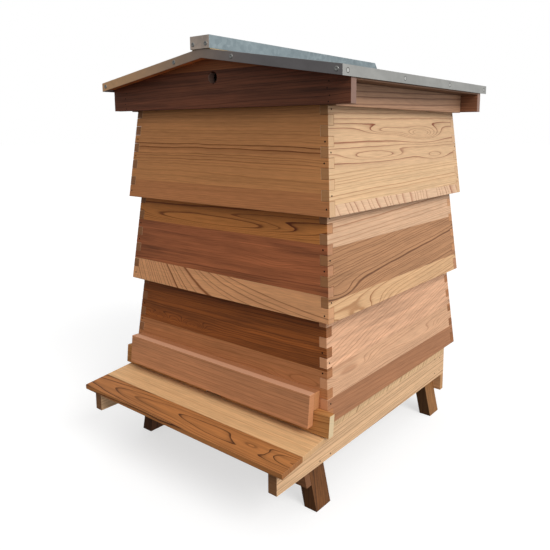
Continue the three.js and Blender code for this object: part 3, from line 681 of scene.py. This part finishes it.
cover_low, cover_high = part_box("roof_cover_sheet")
FASCIA = 0.018  # height of the folded edge
PITCH = 0.1558  # rise of the roof for each metre towards the ridge
FRONT_SCREWS = (-0.308, -0.078, 0.078, 0.308)
SIDE_SCREWS = (-0.288, -0.098, 0.098, 0.288)
CAP_SCREWS = (-0.018, 0.016)
middle_y = (cover_low.y + cover_high.y) / 2
# the side screws are level with the sheet, so that nothing stands out of the CAD box
# front= paints reflection on the forward faces: the cover's painted shade at the right and
# painted highlight at the left, the cap's lighter
COVER = zinc("cover_zinc", tone(208, 208, 204), tone(166, 166, 162), 0.4, 0.5,
             front=((0.54, 0.51, 0.54), (1.75, 1.08, 0.62)),
             flush=[(middle_y + y, cover_low.z + FASCIA / 2) for y in SIDE_SCREWS])
CAP = zinc("cap_zinc", tone(176, 190, 194), tone(120, 134, 140), 0.34,
           front=((2.1, 1.45, 1.16), (2.1, 1.45, 1.16)))
dress("roof_cover_sheet", COVER, 0.0004)
dress("ridge_cap", CAP, 0.0004)
STEEL = zinc("screen_steel", tone(62, 60, 58), tone(36, 35, 34), 0.5, 0.3)
for name in ("vent_screen_front", "vent_screen_rear"):
    dress(name, STEEL, 0)
NAIL = zinc("nail_steel", tone(62, 52, 46), tone(30, 24, 20), 0.6, 0.3)
SCREW = zinc("screw_steel", tone(196, 196, 192), tone(120, 120, 118), 0.35, 0.3)

# ---- nail and screw heads ----

# outlines from the rim to the middle, as shares of the radius and of the rise
NAIL_SHAPE = [(1.0, -0.6), (1.0, 0.35), (0.7, 0.8), (0.0, 1.0)]
SCREW_SHAPE = [(1.0, -0.6), (1.0, 0.30), (0.84, 0.78), (0.5, 1.0), (0.36, 0.35), (0.0, 0.35)]
LIFT_NAIL = 0.0017  # radii
STAND_NAIL = 0.0015
GABLE_NAIL = 0.0012
ROOF_SCREW = 0.0044
NAIL_RISE = 0.0003
SCREW_RISE = 0.0007
HEAD_SIDES = 14


def heads(name, body, material, spots, radius, rise, shape):
    """Round heads that stand out of a surface, from points on it and its outward directions."""
    mesh = bmesh.new()
    for point, outward in spots:
        normal = Vector(outward).normalized()
        across = normal.orthogonal().normalized()
        upward = normal.cross(across)
        rings = []
        for share, height in shape[:-1]:
            ring = []
            for k in range(HEAD_SIDES):
                angle = 2 * math.pi * k / HEAD_SIDES
                spoke = across * math.cos(angle) + upward * math.sin(angle)
                ring.append(mesh.verts.new(
                    Vector(point) + spoke * share * radius + normal * height * rise))
            rings.append(ring)
        tip = mesh.verts.new(Vector(point) + normal * shape[-1][1] * rise)
        for lower, upper in zip(rings, rings[1:]):
            for k in range(HEAD_SIDES):
                following = (k + 1) % HEAD_SIDES
                mesh.faces.new((lower[k], lower[following], upper[following], upper[k]))
        for k in range(HEAD_SIDES):
            mesh.faces.new((rings[-1][k], rings[-1][(k + 1) % HEAD_SIDES], tip))
        mesh.faces.new(rings[0][::-1])
    bmesh.ops.recalc_face_normals(mesh, faces=mesh.faces)
    data = bpy.data.meshes.new(name)
    mesh.to_mesh(data)
    mesh.free()
    for polygon in data.polygons:
        polygon.use_smooth = True
    data.materials.append(material)
    piece = bpy.data.objects.new(name, data)
    bpy.context.scene.collection.objects.link(piece)
    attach(piece, body)


LOWEST_FINGER = 0.027
FINGER_PITCH = 0.0184
WALL = 0.0165
FRONT_NAILED = (0, 4, 6)  # fingers with a nail through them, from the lowest one up
SIDE_NAILED = (1, 5, 9)
STRAY = 0.002  # how far a finger's nail is off its middle
GABLE_NAIL_X = 0.274
GABLE_STRAY = 0.004
scatter = random.Random(7)


def corner_nails(level):
    """Nails through the corner fingers of one lift, in the middle of a finger's end."""
    low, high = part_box(f"lift_{level}_front_wall")
    centre_y = (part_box(f"lift_{level}_rear_wall")[1].y + low.y) / 2
    half_x = high.x
    half_y = centre_y - low.y
    spots = []
    for finger in FRONT_NAILED:
        up = LOWEST_FINGER / 2 if finger == 0 else LOWEST_FINGER + FINGER_PITCH * (finger - 0.5)
        for sign_x in (-1, 1):
            for sign_y in (-1, 1):
                x = sign_x * (half_x - LEAN * up - WALL / 2 + scatter.uniform(-STRAY, STRAY))
                y = centre_y + sign_y * (half_y - LEAN * up)
                spots.append(((x, y, low.z + up), (0, sign_y, LEAN)))
    for finger in SIDE_NAILED:
        up = LOWEST_FINGER + FINGER_PITCH * (finger - 0.5)
        for sign_x in (-1, 1):
            for sign_y in (-1, 1):
                x = sign_x * (half_x - LEAN * up)
                y = centre_y + sign_y * (
                    half_y - LEAN * up - WALL / 2 + scatter.uniform(-STRAY, STRAY))
                spots.append(((x, y, low.z + up), (sign_x, 0, LEAN)))
    return spots


for level, body in ((1, "lower_lift"), (2, "middle_lift"), (3, "upper_lift")):
    heads(f"nails_lift_{level}", body, NAIL, corner_nails(level),
          LIFT_NAIL, NAIL_RISE, NAIL_SHAPE)

rail_low, rail_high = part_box("floor_rail_right")
rail_spots = []
for from_front, up in ((0.1232, 0.0069), (0.1561, 0.0073), (0.6028, 0.0510), (0.6298, 0.0480),
                       (0.6028, 0.0154), (0.6298, 0.0154)):
    for sign in (-1, 1):
        rail_spots.append(((sign * rail_high.x, rail_low.y + from_front, rail_low.z + up),
                           (sign, 0, 0)))
low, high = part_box("rear_cross_board")
for x in (-0.2, 0.0, 0.2):
    rail_spots.append(((x, high.y, (low.z + high.z) / 2), (0, 1, 0)))
heads("nails_stand", "stand", NAIL, rail_spots,
      STAND_NAIL, NAIL_RISE, NAIL_SHAPE)

gable_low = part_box("gable_front")[0]
rear_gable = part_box("gable_rear")[1]
gable_spots = []
for sign in (-1, 1):
    for up in (0.0045, 0.0145, 0.0265, 0.0375):
        x = sign * (GABLE_NAIL_X + scatter.uniform(-GABLE_STRAY, GABLE_STRAY))
        gable_spots.append(((x, gable_low.y, gable_low.z + up), (0, -1, 0)))
        gable_spots.append(((x, rear_gable.y, gable_low.z + up), (0, 1, 0)))
heads("nails_gable", "roof", NAIL, gable_spots,
      GABLE_NAIL, NAIL_RISE, NAIL_SHAPE)

screw_spots = []
for x in FRONT_SCREWS:
    z = cover_low.z + PITCH * (cover_high.x - abs(x)) + FASCIA / 2
    screw_spots.append(((x, cover_low.y, z), (0, -1, 0)))
    screw_spots.append(((x, cover_high.y, z), (0, 1, 0)))
cap_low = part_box("ridge_cap")[0]
for x in CAP_SCREWS:
    screw_spots.append(((x, cap_low.y, cap_low.z + 0.009), (0, -1, 0)))
heads("screws_roof", "roof", SCREW, screw_spots,
      ROOF_SCREW, SCREW_RISE, SCREW_SHAPE)

# ---- floor, light and camera ----


def floor_material():
    """Pale, and bright by itself, so that the hive's shadow on it is only faint."""
    material = bpy.data.materials.new("floor_pale")
    material.use_nodes = True
    surface = material.node_tree.nodes["Principled BSDF"]
    surface.inputs["Base Color"].default_value = (0.45, 0.45, 0.45, 1)
    surface.inputs["Roughness"].default_value = 0.9
    surface.inputs["Specular IOR Level"].default_value = 0.0
    surface.inputs["Emission Color"].default_value = (1, 1, 1, 1)
    surface.inputs["Emission Strength"].default_value = 0.62
    return material


bpy.ops.mesh.primitive_circle_add(vertices=96, radius=30, fill_type="NGON", location=(0, 0, 0))
floor = bpy.context.object
floor.name = "floor"
floor.data.materials.append(floor_material())
floor.visible_diffuse = False  # the pale floor throws no light back up
floor.visible_glossy = False

# the camera sees plain white. The pieces are lit by a soft glow from the right and from above.
world = bpy.data.worlds.new("studio")
bpy.context.scene.world = world
world.use_nodes = True
sky = Shader(world.node_tree)
seen = sky.add("ShaderNodeLightPath").outputs["Is Camera Ray"]
towards = sky.add("ShaderNodeTexCoord").outputs["Generated"]
side = sky.vector("DOT_PRODUCT", towards, (0.93, 0.10, 0.34))
glow = sky.math("POWER", sky.math("MAXIMUM", side, 0.0), 1.5)
height = sky.vector("DOT_PRODUCT", towards, (0, 0, 1))
above = sky.add("ShaderNodeMapRange", {
    "Value": height, "From Min": -0.35, "From Max": 0.15, "To Min": 0.08, "To Max": 0.40,
}, interpolation_type="SMOOTHSTEP").outputs["Result"]
lit = sky.math("MULTIPLY_ADD", glow, 0.75, above)
away = sky.math("SUBTRACT", 1.0, seen)
background = world.node_tree.nodes["Background"]
background.inputs["Color"].default_value = (1, 1, 1, 1)
sky.feed(background.inputs["Strength"],
         sky.math("MULTIPLY_ADD", lit, away, sky.math("MULTIPLY", seen, 1.0)))


def sun(name, towards, strength, softness, color=(1, 1, 1)):
    """A distant soft light from a direction, so that the floor is lit evenly."""
    light = bpy.data.lights.new(name, "SUN")
    light.energy = strength
    light.angle = math.radians(softness)
    light.color = color
    lamp = bpy.data.objects.new(name, light)
    bpy.context.scene.collection.objects.link(lamp)
    lamp.rotation_euler = Vector(towards).to_track_quat("Z", "Y").to_euler()


sun("key", (0.78, -0.20, 0.60), 1.7, 30, (1.0, 0.985, 0.96))
sun("top", (0.0, -0.36, 0.93), 0.45, 60)

camera_data = bpy.data.cameras.new("camera")
camera = bpy.data.objects.new("camera", camera_data)
bpy.context.scene.collection.objects.link(camera)
camera_data.sensor_width = 36
camera_data.lens = 38.63
camera_data.shift_x = -0.0418
camera_data.shift_y = -0.0972
camera.location = (0.84776, -1.03873, 0.70066)
camera.rotation_euler = (math.radians(81.29), 0, math.radians(38.08))
bpy.context.scene.camera = camera
bpy.context.scene.view_settings.view_transform = "Standard"
